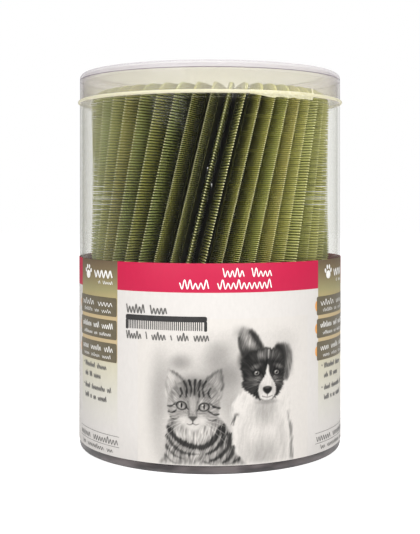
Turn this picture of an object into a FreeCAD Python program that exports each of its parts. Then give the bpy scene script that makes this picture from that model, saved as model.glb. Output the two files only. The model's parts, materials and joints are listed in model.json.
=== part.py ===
"""Clear counter canister of double-sided flea combs.

A round clear jar with a lift-off lid stands on its foot ring at z = 0, its axis on Z and its front
towards -Y. Two layers of combs stand on edge inside, one above the other, each a ring of leaning radial
plates, and a printed sleeve is glued round the lower half of the wall.
"""
import FreeCAD, Part
import os
import re
import Sketcher

DOC = FreeCAD.newDocument("comb_canister")
SHEET = "Sizes"

# Driving sizes in millimetres and degrees. An azimuth is counted from the front (-Y) towards +X.
SIZES = {
    # jar
    "jar_radius": 65.0,
    "jar_wall": 1.2,
    "floor_height": 1.6,
    "floor_thickness": 1.4,
    "foot_inner_radius": 58.0,
    "foot_taper": 1.2,
    "foot_round": 2.2,
    "shoulder_height": 168.5,
    "shoulder_round": 0.7,
    "neck_radius": 63.0,
    "neck_top": 179.4,
    "bead_height": 174.8,
    "bead_half_width": 1.0,
    "bead_proud": 0.4,
    # lid
    "lid_clearance": 0.3,
    "lid_top": 183.7,
    "lid_round": 2.6,
    "lip_proud": 1.0,
    "lip_height": 1.6,
    "lip_round": 0.7,
    "panel_radius": 56.6,
    "panel_depth": 1.0,
    "panel_taper": 0.9,
    # tape over the lid joint
    "tape_thickness": 0.25,
    "tape_stand_off": 0.4,
    "tape_drop": 1.9,
    "tape_azimuth": 15.5,
    "tape_angle": 30.5,
    # printed sleeve
    "sleeve_bottom": 4.2,
    "sleeve_top": 93.5,
    "sleeve_thickness": 0.3,
    "sleeve_glue_gap": 0.05,
    "sleeve_seam_angle": 0.4,
    # card between the layers
    "card_radius": 60.5,
    "card_thickness": 1.0,
    "card_height": 86.0,
    # combs
    "comb_length": 90.0,
    "comb_width": 47.0,
    "comb_corner": 8.0,
    "spine_width": 13.0,
    "spine_thickness": 3.0,
    "tip_thickness": 0.95,
    "tooth_root": 7.4,
    "coarse_pitch": 1.31,
    "coarse_gap": 0.55,
    "coarse_gaps": 62,
    "fine_pitch": 0.92,
    "fine_gap": 0.38,
    "fine_gaps": 88,
    # how the combs stand
    "ring_radius": 35.5,
    "comb_step": 8.0,
    "first_azimuth": -10.9,
    "crowding": 2.7,
    "crowding_phase": 11.0,
    "upper_centre": 131.25,
    "upper_lean": 13.6,
    "lower_centre": 44.5,
    "lower_lean": 25.8,
}

COMBS_PER_LAYER = 45
LOWER_GROUPS = 5
# Combs that went in with their fine teeth towards the wall, counted from the front one.
FINE_SIDE_OUT = {0, 3, 4, 5, 6, 7, 9, 12, 13, 17, 18, 22, 25, 26, 30, 33, 35, 36, 44}

CUT_MARGIN = 1.0
SAME_PLACE = 1e-4


def make_sheet():
    """Write every driving size into its own named cell."""
    sheet = DOC.addObject("Spreadsheet::Sheet", SHEET)
    for row, (name, number) in enumerate(SIZES.items(), start=1):
        sheet.set("A%d" % row, name)
        sheet.set("B%d" % row, str(number))
        sheet.setAlias("B%d" % row, name)
    DOC.recompute()
    return sheet


def sized(text):
    """Turn a formula of plain size names into one that reads the sheet."""
    return re.sub("[a-z_]+", lambda word: SHEET + "." + word[0] if word[0] in SIZES else word[0], text)


def bind(thing, prop, text):
    """Tie one property to a formula of sheet sizes."""
    thing.setExpression(prop, sized(text))


def origin_plane(body, role):
    """One of a body's own base planes."""
    return next(plane for plane in body.Origin.OriginFeatures if plane.Role == role)


def pin_point(sketch, line, along, formula):
    """Fix one coordinate of a line's start point to a formula."""
    number = float(sketch.evalExpression(sized(formula)))
    kind = "DistanceX" if along == "x" else "DistanceY"
    if abs(number) < SAME_PLACE:
        axis = -2 if along == "x" else -1
        sketch.addConstraint(Sketcher.Constraint("PointOnObject", line, 1, axis))
        return
    index = sketch.addConstraint(Sketcher.Constraint(kind, -1, 1, line, 1, number))
    bind(sketch, "Constraints[%d]" % index, formula)


def outline(body, name, role, *loops):
    """Sketch closed outlines of straight edges, with every corner tied to the sheet."""
    sketch = body.newObject("Sketcher::SketchObject", name)
    sketch.AttachmentSupport = [(origin_plane(body, role), "")]
    sketch.MapMode = "FlatFace"
    for corners in loops:
        first = sketch.GeometryCount
        spots = [FreeCAD.Vector(*(float(sketch.evalExpression(sized(part))) for part in corner), 0)
                 for corner in corners]
        count = len(spots)
        for step, spot in enumerate(spots):
            sketch.addGeometry(Part.LineSegment(spot, spots[(step + 1) % count]), False)
        for step, (across, up) in enumerate(corners):
            following = first + (step + 1) % count
            sketch.addConstraint(Sketcher.Constraint("Coincident", first + step, 2, following, 1))
            pin_point(sketch, first + step, "x", across)
            pin_point(sketch, first + step, "y", up)
    return sketch


def turned(label, corners, angle="360"):
    """A body turned about Z from an outline of (radius, height) corners."""
    body = DOC.addObject("PartDesign::Body", label)
    body.Label = label
    sketch = outline(body, label + "_outline", "XZ_Plane", corners)
    turn = body.newObject("PartDesign::Revolution", label + "_turn")
    turn.Profile = sketch
    turn.ReferenceAxis = (sketch, ["V_Axis"])
    bind(turn, "Angle", angle)
    DOC.recompute()
    return body


def round_rings(body, name, radius, rings):
    """Round the circular edges that lie at the given (radius, height) places."""
    base = body.Tip
    places = [[float(body.evalExpression(sized(part))) for part in ring] for ring in rings]
    picked = []
    for number, edge in enumerate(base.Shape.Edges, start=1):
        if not isinstance(edge.Curve, Part.Circle):
            continue
        middle = edge.Curve.Center
        if any(abs(edge.Curve.Radius - ring) < SAME_PLACE and abs(middle.z - up) < SAME_PLACE
               for ring, up in places):
            picked.append("Edge%d" % number)
    rounding = body.newObject("PartDesign::Fillet", name)
    rounding.Base = (base, picked)
    bind(rounding, "Radius", radius)
    DOC.recompute()


def make_jar():
    """Clear jar: foot ring, raised floor, straight wall, ledge and neck with a snap bead."""
    inside = "jar_radius - jar_wall"
    neck_inside = "neck_radius - jar_wall"
    body = turned("canister_body", [
        ("0", "floor_height"),
        ("foot_inner_radius - foot_taper", "floor_height"),
        ("foot_inner_radius", "0"),
        ("jar_radius", "0"),
        ("jar_radius", "shoulder_height"),
        ("neck_radius", "shoulder_height"),
        ("neck_radius", "bead_height - bead_half_width"),
        ("neck_radius + bead_proud", "bead_height"),
        ("neck_radius", "bead_height + bead_half_width"),
        ("neck_radius", "neck_top"),
        (neck_inside, "neck_top"),
        (neck_inside, "shoulder_height - jar_wall"),
        (inside, "shoulder_height - jar_wall"),
        (inside, "floor_height + floor_thickness"),
        ("0", "floor_height + floor_thickness"),
    ])
    round_rings(body, "foot_rounding", "foot_round", [("jar_radius", "0")])
    round_rings(body, "shoulder_rounding", "shoulder_round", [("jar_radius", "shoulder_height")])
    return body


def make_lid():
    """Clear lid: recessed top panel, rounded shoulder, skirt outside the neck and a curled lip."""
    foot = "shoulder_height + lid_clearance"
    inside = "jar_radius - jar_wall"
    lip = "jar_radius + lip_proud"
    body = turned("lid", [
        ("0", "lid_top - panel_depth - jar_wall"),
        ("panel_radius - panel_taper / 2", "lid_top - panel_depth - jar_wall"),
        ("panel_radius + panel_taper / 2", "lid_top - jar_wall"),
        (inside, "lid_top - jar_wall"),
        (inside, foot),
        (lip, foot),
        (lip, foot + " + lip_height"),
        ("jar_radius", foot + " + lip_height"),
        ("jar_radius", "lid_top"),
        ("panel_radius + panel_taper", "lid_top"),
        ("panel_radius", "lid_top - panel_depth"),
        ("0", "lid_top - panel_depth"),
    ])
    round_rings(body, "outer_shoulder", "lid_round", [("jar_radius", "lid_top")])
    round_rings(body, "inner_shoulder", "lid_round - jar_wall", [(inside, "lid_top - jar_wall")])
    round_rings(body, "lip_rounding", "lip_round", [(lip, foot), (lip, foot + " + lip_height")])
    return body


def make_tape():
    """Strip of clear tape on the lid's lip, its free edge hanging just outside the jar's wall."""
    foot = "shoulder_height + lid_clearance"
    near = "jar_radius + tape_stand_off"
    lip = "jar_radius + lip_proud + sleeve_glue_gap"
    body = turned("seal_tape", [
        (near, foot + " - tape_drop"),
        (near + " + tape_thickness", foot + " - tape_drop"),
        (near + " + tape_thickness", foot + " - 2 * tape_thickness"),
        (lip + " + tape_thickness", foot),
        (lip + " + tape_thickness", foot + " + lip_height"),
        (lip, foot + " + lip_height"),
        (lip, foot + " + tape_thickness / 2"),
        (near, foot + " - 2 * tape_thickness + tape_thickness / 2"),
    ], angle="tape_angle")
    bind(body, "Placement", "placement(vector(0; 0; 0); rotation(tape_azimuth - 90; 0; 0))")
    return body


def make_sleeve():
    """Printed sleeve glued round the wall, its seam at the back."""
    inner = "jar_radius + sleeve_glue_gap"
    outer = "jar_radius + sleeve_glue_gap + sleeve_thickness"
    body = turned("wrap_label", [
        (inner, "sleeve_bottom"),
        (outer, "sleeve_bottom"),
        (outer, "sleeve_top"),
        (inner, "sleeve_top"),
    ], angle="360 - sleeve_seam_angle")
    bind(body, "Placement", "placement(vector(0; 0; 0); rotation(90 + sleeve_seam_angle / 2; 0; 0))")
    return body


def make_card():
    """Card disc that the upper combs stand on."""
    card = DOC.addObject("Part::Cylinder", "layer_divider")
    card.Label = "layer_divider"
    bind(card, "Radius", "card_radius")
    bind(card, "Height", "card_thickness")
    bind(card, "Placement.Base.z", "card_height")
    return card


def comb_blank(label):
    """Comb without teeth: a rounded plate, thick along its spine and thin at both long edges."""
    body = DOC.addObject("PartDesign::Body", label)
    body.Label = label
    half_wide = "comb_width / 2"
    half_long = "comb_length / 2"
    plate = outline(body, label + "_plan", "XZ_Plane", [
        ("-" + half_wide, "-" + half_long),
        (half_wide, "-" + half_long),
        (half_wide, half_long),
        ("-" + half_wide, half_long),
    ])
    pad = body.newObject("PartDesign::Pad", label + "_plate")
    pad.Profile = plate
    pad.Midplane = True
    bind(pad, "Length", "spine_thickness")
    DOC.recompute()

    corners = body.newObject("PartDesign::Fillet", label + "_corners")
    upright = ["Edge%d" % number for number, edge in enumerate(pad.Shape.Edges, start=1)
               if edge.BoundBox.YLength > edge.Length / 2]
    corners.Base = (pad, upright)
    bind(corners, "Radius", "comb_corner")
    DOC.recompute()

    wedges = [[
        (side + "spine_width / 2", face + "spine_thickness / 2"),
        (side + "(comb_width / 2 + %g)" % CUT_MARGIN, face + "spine_thickness / 2"),
        (side + "(comb_width / 2 + %g)" % CUT_MARGIN, face + "tip_thickness / 2"),
        (side + "comb_width / 2", face + "tip_thickness / 2"),
    ] for side in ("", "-") for face in ("", "-")]
    taper = body.newObject("PartDesign::Pocket", label + "_taper")
    taper.Profile = outline(body, label + "_wedges", "XY_Plane", *wedges)
    taper.Midplane = True
    bind(taper, "Length", "comb_length + %g" % CUT_MARGIN)
    body.Tip = taper
    DOC.recompute()
    return body


def cut_teeth(body, side, sort):
    """Cut one edge of a comb into teeth: a first gap, repeated along the comb."""
    name = body.Label + "_" + sort
    end = "(%s_gaps - 1) * %s_pitch / 2" % (sort, sort)
    first = outline(body, name + "_gap", "XZ_Plane", [
        (side + "tooth_root", "-" + end + " - %s_gap / 2" % sort),
        (side + "(comb_width / 2 + %g)" % CUT_MARGIN, "-" + end + " - %s_gap / 2" % sort),
        (side + "(comb_width / 2 + %g)" % CUT_MARGIN, "-" + end + " + %s_gap / 2" % sort),
        (side + "tooth_root", "-" + end + " + %s_gap / 2" % sort),
    ])
    slot = body.newObject("PartDesign::Pocket", name + "_slot")
    slot.Profile = first
    slot.Midplane = True
    bind(slot, "Length", "spine_thickness + %g" % CUT_MARGIN)
    DOC.recompute()
    row = body.newObject("PartDesign::LinearPattern", name + "_row")
    row.Originals = [slot]
    row.Direction = (first, ["V_Axis"])
    bind(row, "Length", "2 * " + end)
    bind(row, "Occurrences", "%s_gaps" % sort)
    body.Tip = row
    DOC.recompute()


def stand(comb, label, place, layer):
    """A comb standing in its ring, leaning along the ring, with one long edge towards the axis."""
    flip = 1 if place in FINE_SIDE_OUT else 0
    turn = "comb_step * %d" % place
    yaw = "first_azimuth - 90 + %s + crowding * cos( 2deg * (%s + crowding_phase ) )" % (turn, turn)
    copy = DOC.addObject("Part::Compound", label)
    copy.Label = label
    copy.Links = [comb]
    spot = "vector( ring_radius * cos( 1deg * ( {0} ) ); ring_radius * sin( 1deg * ( {0} ) ); {1}_centre )"
    lean = "rotation( {0} + %d; 0; %d * {1}_lean )" % (180 * flip, 2 * flip - 1)
    bind(copy, "Placement", ("placement( " + spot + "; " + lean + " )").format(yaw, layer))
    return copy


def make_upper_combs(comb):
    """Upper ring: the front comb, which draws out, and the rest in order round the jar."""
    names = ["front_comb"] + ["upper_comb_%02d" % number for number in range(2, COMBS_PER_LAYER + 1)]
    return [stand(comb, name, place, "upper") for place, name in enumerate(names)]


def make_lower_combs(comb):
    """Lower ring, in equal groups of neighbouring combs."""
    groups = []
    size = COMBS_PER_LAYER // LOWER_GROUPS
    for number in range(LOWER_GROUPS):
        group = DOC.addObject("Part::Compound", "lower_combs_%d" % (number + 1))
        group.Label = group.Name
        group.Links = [stand(comb, "lower_comb_%02d" % (place + 1), place, "lower")
                       for place in range(number * size, (number + 1) * size)]
        groups.append(group)
    return groups


def main():
    make_sheet()
    toothed = comb_blank("toothed_comb")
    cut_teeth(toothed, "", "coarse")
    cut_teeth(toothed, "-", "fine")
    nodes = [make_jar(), make_lid(), make_tape(), make_sleeve(), make_card()]
    nodes += make_upper_combs(toothed)
    nodes += make_lower_combs(comb_blank("plain_comb"))
    DOC.recompute()

    failed = [thing.Label for thing in DOC.Objects if {"Invalid", "Error"} & set(thing.State)]
    failed += [node.Label for node in nodes if node.Shape.isNull() or not node.Shape.isValid()]
    if failed:
        raise RuntimeError("these did not build: " + ", ".join(sorted(set(failed))))
    os.makedirs("parts", exist_ok=True)
    for node in nodes:
        node.Shape.exportStep("parts/%s.step" % node.Label)
        box = node.Shape.BoundBox
        print("%-18s solids %d  volume %10.1f  z %.2f to %.2f" % (
            node.Label, len(node.Shape.Solids), node.Shape.Volume, box.ZMin, box.ZMax))


main()
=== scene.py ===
import json
import math

import bpy
import numpy as np
from mathutils import Matrix, Vector


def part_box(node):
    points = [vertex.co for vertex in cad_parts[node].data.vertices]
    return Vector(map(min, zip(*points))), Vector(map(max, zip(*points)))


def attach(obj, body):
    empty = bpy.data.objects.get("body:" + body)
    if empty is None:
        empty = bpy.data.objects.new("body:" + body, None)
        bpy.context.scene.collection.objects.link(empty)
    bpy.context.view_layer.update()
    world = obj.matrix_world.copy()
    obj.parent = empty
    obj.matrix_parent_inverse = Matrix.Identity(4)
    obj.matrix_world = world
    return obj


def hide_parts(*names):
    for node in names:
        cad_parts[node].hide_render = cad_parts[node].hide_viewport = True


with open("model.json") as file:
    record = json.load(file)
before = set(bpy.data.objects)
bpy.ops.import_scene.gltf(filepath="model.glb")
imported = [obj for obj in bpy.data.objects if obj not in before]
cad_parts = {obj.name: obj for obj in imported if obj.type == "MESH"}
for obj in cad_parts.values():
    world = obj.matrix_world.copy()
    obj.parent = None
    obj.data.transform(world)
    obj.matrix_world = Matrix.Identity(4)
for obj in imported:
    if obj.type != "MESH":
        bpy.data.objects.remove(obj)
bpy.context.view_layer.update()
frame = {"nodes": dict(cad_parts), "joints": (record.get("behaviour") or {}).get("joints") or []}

MM = 0.001
SEED = 7

# --- sizes in millimetres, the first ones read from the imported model


def box_mm(node):
    """A node's lowest and highest corner in millimetres."""
    low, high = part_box(node)
    return low / MM, high / MM


JAR_HIGH = box_mm("canister_body")[1]
LID_LOW, LID_HIGH = box_mm("lid")
SLEEVE_LOW, SLEEVE_HIGH = box_mm("wrap_label")
COMB_LOW, COMB_HIGH = box_mm("front_comb")
DRAW_AXIS = Vector(next(j for j in frame["joints"] if j["name"] == "comb_draw")["axis"]).normalized()

JAR_RADIUS = JAR_HIGH.x
NECK_TOP = JAR_HIGH.z
LID_TOP = LID_HIGH.z
LID_FOOT = LID_LOW.z
LIP_RADIUS = LID_HIGH.x
SLEEVE_RADIUS = SLEEVE_HIGH.x
LEAN = math.acos(DRAW_AXIS.z)
LOWER_LEAN = math.radians(25.8)

# Moulded profiles
WALL = 1.2
FLOOR_UNDER = 1.6
FLOOR_TOP = 3.0
FOOT_INNER = 58.0
NECK_RADIUS = 63.0
SHOULDER = 168.5
PANEL_RADIUS = 56.6
PANEL_DEPTH = 1.0
LID_ROUND = 2.6
RIM_DEEP = 3.2

# Combs
COMBS = 45
GROUPS = 5
COMB_LONG = 90.0
COMB_WIDE = 47.0
COMB_CORNER = 8.0
COMB_RING = (COMB_LOW + COMB_HIGH).xy.length / 2
SPINE_HALF = 6.5
SPINE_THICK = 3.0
TIP_THICK = 0.95
TOOTH_ROOT = 7.4
COARSE = {"pitch": 1.31, "gaps": 62, "root_gap": 0.46, "tip_gap": 0.70}
FINE = {"pitch": 0.92, "gaps": 88, "root_gap": 0.34, "tip_gap": 0.52}
EDGE_FULL = 0.42
# Share of the painted depth shade that the drawn front comb takes
FRONT_SHADE_SHARE = 0.7
FINE_SIDE_OUT = {0, 3, 4, 5, 6, 7, 9, 12, 13, 17, 18, 22, 25, 26, 30, 33, 35, 36, 44}

# --- small helpers


def smoothstep(low, high, value):
    """0 below low, 1 above high, and smooth between."""
    share = np.clip((value - low) / (high - low), 0, 1)
    return share * share * (3 - 2 * share)


def on_wall(azimuth, height, radius):
    """Point on a cylinder round Z, in mm; the azimuth is in degrees from the front towards +X."""
    turn = math.radians(azimuth)
    return radius * math.sin(turn), -radius * math.cos(turn), height


def make_mesh(name, points, faces, material, sharp=32.0):
    """Mesh in metres from millimetre points, shaded smooth with creases over the sharp angle."""
    mesh = bpy.data.meshes.new(name)
    mesh.from_pydata([tuple(c * MM for c in p) for p in points], [], faces)
    mesh.validate()
    mesh.shade_smooth()
    mesh.set_sharp_from_angle(angle=math.radians(sharp))
    mesh.materials.append(material)
    return mesh


def show(name, data, place=Matrix()):
    """Object in the scene for a mesh, lamp or camera."""
    thing = bpy.data.objects.new(name, data)
    thing.matrix_world = place
    bpy.context.scene.collection.objects.link(thing)
    return thing


def add_piece(name, mesh, body, nodes=(), place=Matrix(), colour=(1, 1, 1, 1)):
    """Put a mesh in the scene as a piece that rides on a body and stands for some nodes."""
    piece = show(name, mesh, place)
    piece.color = colour
    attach(piece, body)
    if nodes:
        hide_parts(*nodes)


def arc(centre, radius, start, end, steps):
    """Points of an arc in the (radius, height) plane, angles in degrees."""
    turns = [math.radians(start + (end - start) * step / steps) for step in range(steps + 1)]
    return [(centre[0] + radius * math.cos(t), centre[1] + radius * math.sin(t)) for t in turns]


def band_faces(steps, count):
    """Faces of a thin closed band; each step along it has count outer points, then count inner ones."""
    faces = []
    for step in range(steps):
        here, there = step * 2 * count, (step + 1) * 2 * count
        for row in range(count - 1):
            faces.append((here + row, here + row + 1, there + row + 1, there + row))
            near, far = here + count + row, there + count + row
            faces.append((near, far, far + 1, near + 1))
        faces.append((here, there, there + count, here + count))
        faces.append((here + count - 1, here + 2 * count - 1, there + 2 * count - 1, there + count - 1))
    for base in (0, steps * 2 * count):
        ring = [base + row for row in range(count)] + [base + count + row for row in reversed(range(count))]
        faces.append(tuple(ring) if base else tuple(reversed(ring)))
    return faces


def lathe(name, profile, material, steps=240):
    """Closed shell turned about Z from a profile that starts and ends on the axis."""
    points = [(0.0, 0.0, profile[0][1])]
    rings = profile[1:-1]
    for radius, height in rings:
        for step in range(steps):
            turn = 2 * math.pi * step / steps
            points.append((radius * math.cos(turn), radius * math.sin(turn), height))
    points.append((0.0, 0.0, profile[-1][1]))
    last = len(points) - 1
    faces = []
    for step in range(steps):
        following = (step + 1) % steps
        faces.append((0, 1 + following, 1 + step))
        for ring in range(len(rings) - 1):
            here, there = 1 + ring * steps, 1 + (ring + 1) * steps
            faces.append((here + step, here + following, there + following, there + step))
        top = 1 + (len(rings) - 1) * steps
        faces.append((top + step, top + following, last))
    return make_mesh(name, points, faces, material)


# --- node building


class Nodes:
    """Short calls that add and join the nodes of one material."""

    def __init__(self, name):
        self.material = bpy.data.materials.new(name)
        self.material.use_nodes = True
        self.tree = self.material.node_tree
        self.tree.nodes.clear()
        self.out = self.tree.nodes.new("ShaderNodeOutputMaterial")

    def add(self, kind, **settings):
        node = self.tree.nodes.new(kind)
        for key, value in settings.items():
            setattr(node, key, value)
        return node

    def feed(self, socket, value):
        """Link a socket to another, or set its plain value."""
        if isinstance(value, bpy.types.NodeSocket):
            self.tree.links.new(value, socket)
        else:
            socket.default_value = value

    def made(self, kind, **values):
        """First output of a new shader node of some kind, its inputs set by name."""
        node = self.add("ShaderNode" + kind)
        for key, value in values.items():
            self.feed(node.inputs[key.replace("_", " ")], value)
        return node.outputs[0]

    def sum(self, operation, *values):
        node = self.add("ShaderNodeMath", operation=operation)
        for socket, value in zip(node.inputs, values):
            self.feed(socket, value)
        return node.outputs[0]

    def step(self, value, edge, soft):
        """0 well below an edge, 1 well above it."""
        return self.span(value, edge - soft, edge + soft)

    def band(self, value, low, high, soft):
        """1 between two edges and 0 outside them."""
        below = self.span(value, high - soft, high + soft, 1, 0)
        return self.sum("MULTIPLY", self.step(value, low, soft), below)

    def span(self, value, low, high, new_low=0.0, new_high=1.0):
        """One range of values turned into another, held at its ends."""
        node = self.add("ShaderNodeMapRange", clamp=True)
        for socket, number in zip(node.inputs, (value, low, high, new_low, new_high)):
            self.feed(socket, number)
        return node.outputs[0]

    def mix(self, factor, first, second, blend="MIX"):
        node = self.add("ShaderNodeMix", data_type="RGBA", blend_type=blend)
        self.feed(node.inputs[0], factor)
        self.feed(node.inputs[6], first)
        self.feed(node.inputs[7], second)
        return node.outputs[2]

    def ramp(self, value, stops):
        node = self.add("ShaderNodeValToRGB")
        ramp = node.color_ramp
        while len(ramp.elements) < len(stops):
            ramp.elements.new(0.5)
        for element, (place, colour) in zip(ramp.elements, stops):
            element.position = place
            element.color = colour
        self.feed(node.inputs[0], value)
        return node.outputs[0]

    def noise(self, scale, detail=3.0, rough=0.5, stretch=(1, 1, 1)):
        where = self.add("ShaderNodeTexCoord").outputs["Object"]
        where = self.made("Mapping", Vector=where, Scale=stretch)
        return self.made("TexNoise", Vector=where, Scale=scale, Detail=detail, Roughness=rough)

    def bump(self, height, distance, strength=1.0):
        return self.made("Bump", Height=height, Distance=distance, Strength=strength)

    def place(self):
        """Object coordinates in millimetres, one socket each."""
        split = self.add("ShaderNodeSeparateXYZ")
        self.feed(split.inputs[0], self.add("ShaderNodeTexCoord").outputs["Object"])
        return [self.sum("MULTIPLY", axis, 1 / MM) for axis in split.outputs]

    def from_axis(self, x, y):
        """Distance from the Z axis."""
        return self.sum("SQRT", self.sum("MULTIPLY_ADD", x, x, self.sum("MULTIPLY", y, y)))

    def blend(self, share, first, second):
        """Mix of two shaders."""
        node = self.add("ShaderNodeMixShader")
        for socket, value in zip(node.inputs, (share, first, second)):
            self.feed(socket, value)
        return node.outputs[0]

    def finish(self, shader):
        self.feed(self.out.inputs["Surface"], shader)
        return self.material


def srgb(red, green, blue):
    """Linear colour from display values of 0 to 255."""
    shares = (red / 255, green / 255, blue / 255)
    return tuple(((v + 0.055) / 1.055) ** 2.4 if v > 0.04 else v / 12.92 for v in shares) + (1.0,)


# --- clear mouldings

# Height up to which the jar's foot is painted dark as shade
BASE_SHADE_TOP = 4.2


def clear_plastic(name, tint, haze_colour, haze_face, haze_edge, lid):
    """Thin clear plastic: see-through face on, milky where it is seen edge on, with a soft gloss. Painted
    side light thins the jar's haze and weakens the gloss towards the right; the jar's foot is painted dark as
    shade, with painted glints.
    """
    n = Nodes(name)
    x, y, height = n.place()
    radius = n.from_axis(x, y)
    facing = n.add("ShaderNodeLayerWeight").outputs["Facing"]
    waves = n.noise(34.0, 2.0, 0.5, (1, 1, 0.25))
    streaks = n.span(waves, 0.3, 0.7, 0.85, 1.15)
    share = n.sum("MULTIPLY", n.span(n.sum("POWER", facing, 2.4), 0.0, 1.0, haze_face, haze_edge), streaks)
    # Painted side light: the jar's haze thins towards the right, so its right side shows lighter
    if not lid:
        share = n.sum("MULTIPLY", share, n.span(x, -20.0, 50.0, 1.0, 0.4))
    colour = haze_colour
    if lid:
        share = n.sum("MULTIPLY", share, n.span(radius, PANEL_RADIUS, PANEL_RADIUS + 4, 0.4, 1.0))
        colour = n.mix(n.sum("POWER", facing, 1.2), colour, srgb(196, 190, 202))
        outside = n.step(radius, JAR_RADIUS - 0.5, 0.1)
        edge = LID_TOP - RIM_DEEP
        rim = n.sum("MULTIPLY", n.step(radius, PANEL_RADIUS + 4, 3.0), n.step(height, edge, 0.1))
        line = n.sum("MULTIPLY", outside, n.band(height, edge - 0.4, edge, 0.1))
        lip = n.step(radius, JAR_RADIUS + 0.15, 0.1)
        for mask, least, shade in ((rim, 0.36, (232, 226, 236)), (line, 0.85, (112, 100, 120)),
                                   (lip, 0.8, (255, 250, 226))):
            share = n.sum("MAXIMUM", share, n.sum("MULTIPLY", mask, least))
            colour = n.mix(mask, colour, srgb(*shade))
    milk = n.blend(0.5, n.made("BsdfDiffuse", Color=colour), n.made("BsdfTranslucent", Color=colour))
    body = n.blend(n.sum("MINIMUM", share, 1.0), n.made("BsdfTransparent", Color=tint), milk)
    shine = n.made("BsdfGlossy", Roughness=0.12, Normal=n.bump(waves, 0.0004, 0.25))
    # Painted side light: the gloss is stronger on the left than on the right
    side_gloss = n.span(x, -50.0, 50.0, 0.42, 0.22)
    clear = n.blend(n.sum("MULTIPLY_ADD", n.sum("POWER", facing, 5.0), side_gloss, 0.008), body, shine)
    if lid:
        return n.finish(clear)
    # Painted shade and glints: the jar's foot is painted dark grey-brown, with lighter streaks as painted
    # glints
    glint_streaks = n.span(n.noise(60.0, 2.0, 0.5, (1, 1, 3)), 0.4, 0.65)
    base_shade = n.mix(glint_streaks, srgb(48, 42, 43), srgb(98, 90, 90))
    low = n.made("BsdfPrincipled", Base_Color=base_shade, Roughness=0.28)
    return n.finish(n.blend(n.span(height, BASE_SHADE_TOP - 0.6, BASE_SHADE_TOP + 0.4, 0.90, 0.0), clear, low))


def jar_profile():
    """Jar's section: floor, foot, wall, ledge, neck with its bead, and back down the inside."""
    inner = JAR_RADIUS - WALL
    neck_inner = NECK_RADIUS - WALL
    profile = [(0.0, FLOOR_UNDER), (20.0, FLOOR_UNDER), (FOOT_INNER - 1.6, FLOOR_UNDER)]
    profile += [(FOOT_INNER - 1.0, FLOOR_UNDER - 0.2), (FOOT_INNER - 0.2, 0.25), (FOOT_INNER + 0.4, 0.0)]
    profile += arc((JAR_RADIUS - 2.2, 2.2), 2.2, -90, 0, 8)
    profile += [(JAR_RADIUS, z) for z in (20.0, 60.0, 100.0, 140.0)]
    profile += arc((JAR_RADIUS - 0.7, SHOULDER - 0.7), 0.7, 0, 90, 5)
    profile += [(NECK_RADIUS + 0.25, SHOULDER), (NECK_RADIUS, SHOULDER + 0.3), (NECK_RADIUS, SHOULDER + 5.0)]
    profile += arc((NECK_RADIUS - 0.75, SHOULDER + 6.0), 1.15, -55, 55, 8)
    profile += [(NECK_RADIUS, SHOULDER + 7.1), (NECK_RADIUS, NECK_TOP - 0.5)]
    profile += arc((NECK_RADIUS - WALL / 2, NECK_TOP - WALL / 2), WALL / 2, 0, 180, 8)
    profile += [(neck_inner, SHOULDER - WALL), (inner - 0.3, SHOULDER - WALL), (inner, SHOULDER - WALL - 0.3)]
    profile += [(inner, z) for z in (140.0, 100.0, 60.0, 20.0)]
    profile += arc((inner - 1.5, FLOOR_TOP + 1.5), 1.5, 0, -90, 5)
    profile += [(30.0, FLOOR_TOP), (0.0, FLOOR_TOP)]
    return profile


def lid_profile():
    """Lid's section: panel underside, inner shoulder, skirt, curled lip, outer shoulder and sunk panel."""
    inner = JAR_RADIUS - WALL
    inner_round = LID_ROUND - WALL
    panel = LID_TOP - PANEL_DEPTH
    under = panel - WALL
    profile = [(0.0, under), (30.0, under), (PANEL_RADIUS - 1.0, under), (PANEL_RADIUS - 0.4, under + 0.1)]
    profile += [(PANEL_RADIUS + 0.4, under + 0.9), (PANEL_RADIUS + 1.0, LID_TOP - WALL)]
    profile += arc((inner - inner_round, LID_TOP - WALL - inner_round), inner_round, 90, 0, 10)
    profile += [(inner, LID_FOOT + 4.0), (inner, LID_FOOT + 0.3), (inner + 0.3, LID_FOOT)]
    profile += arc((LIP_RADIUS - 0.75, LID_FOOT + 0.8), 0.75, -80, 80, 8)
    profile += [(JAR_RADIUS + 0.15, LID_FOOT + 1.65), (JAR_RADIUS, LID_FOOT + 1.9)]
    profile += [(JAR_RADIUS, LID_FOOT + 5.0)]
    profile += arc((JAR_RADIUS - LID_ROUND, LID_TOP - LID_ROUND), LID_ROUND, 0, 90, 12)
    profile += [(PANEL_RADIUS + 1.2, LID_TOP), (PANEL_RADIUS + 0.9, LID_TOP - 0.1)]
    profile += [(PANEL_RADIUS + 0.1, panel + 0.1), (PANEL_RADIUS - 0.3, panel), (30.0, panel), (0.0, panel)]
    return profile


def make_clear_parts():
    """Jar and lid."""
    jar = clear_plastic("clear_jar", (0.99, 0.99, 0.98, 1), srgb(236, 234, 224), 0.003, 0.34, False)
    lid = clear_plastic("clear_lid", (0.99, 0.985, 0.965, 1), srgb(255, 250, 228), 0.22, 0.42, True)
    add_piece("jar_shell", lathe("jar_shell", jar_profile(), jar), "jar", ["canister_body"])
    add_piece("lid_shell", lathe("lid_shell", lid_profile(), lid), "lid", ["lid"])


# --- combs


def comb_edge(length):
    """How far out the comb's rounded outline reaches at a place along its length."""
    past = max(abs(length) - (COMB_LONG / 2 - COMB_CORNER), 0.0)
    return COMB_WIDE / 2 - COMB_CORNER + math.sqrt(max(COMB_CORNER**2 - past**2, 0.0))


def comb_end(across):
    """How far along the comb its rounded outline reaches at a distance from the middle."""
    past = max(across - (COMB_WIDE / 2 - COMB_CORNER), 0.0)
    return COMB_LONG / 2 - COMB_CORNER + math.sqrt(max(COMB_CORNER**2 - past**2, 0.0))


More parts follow.
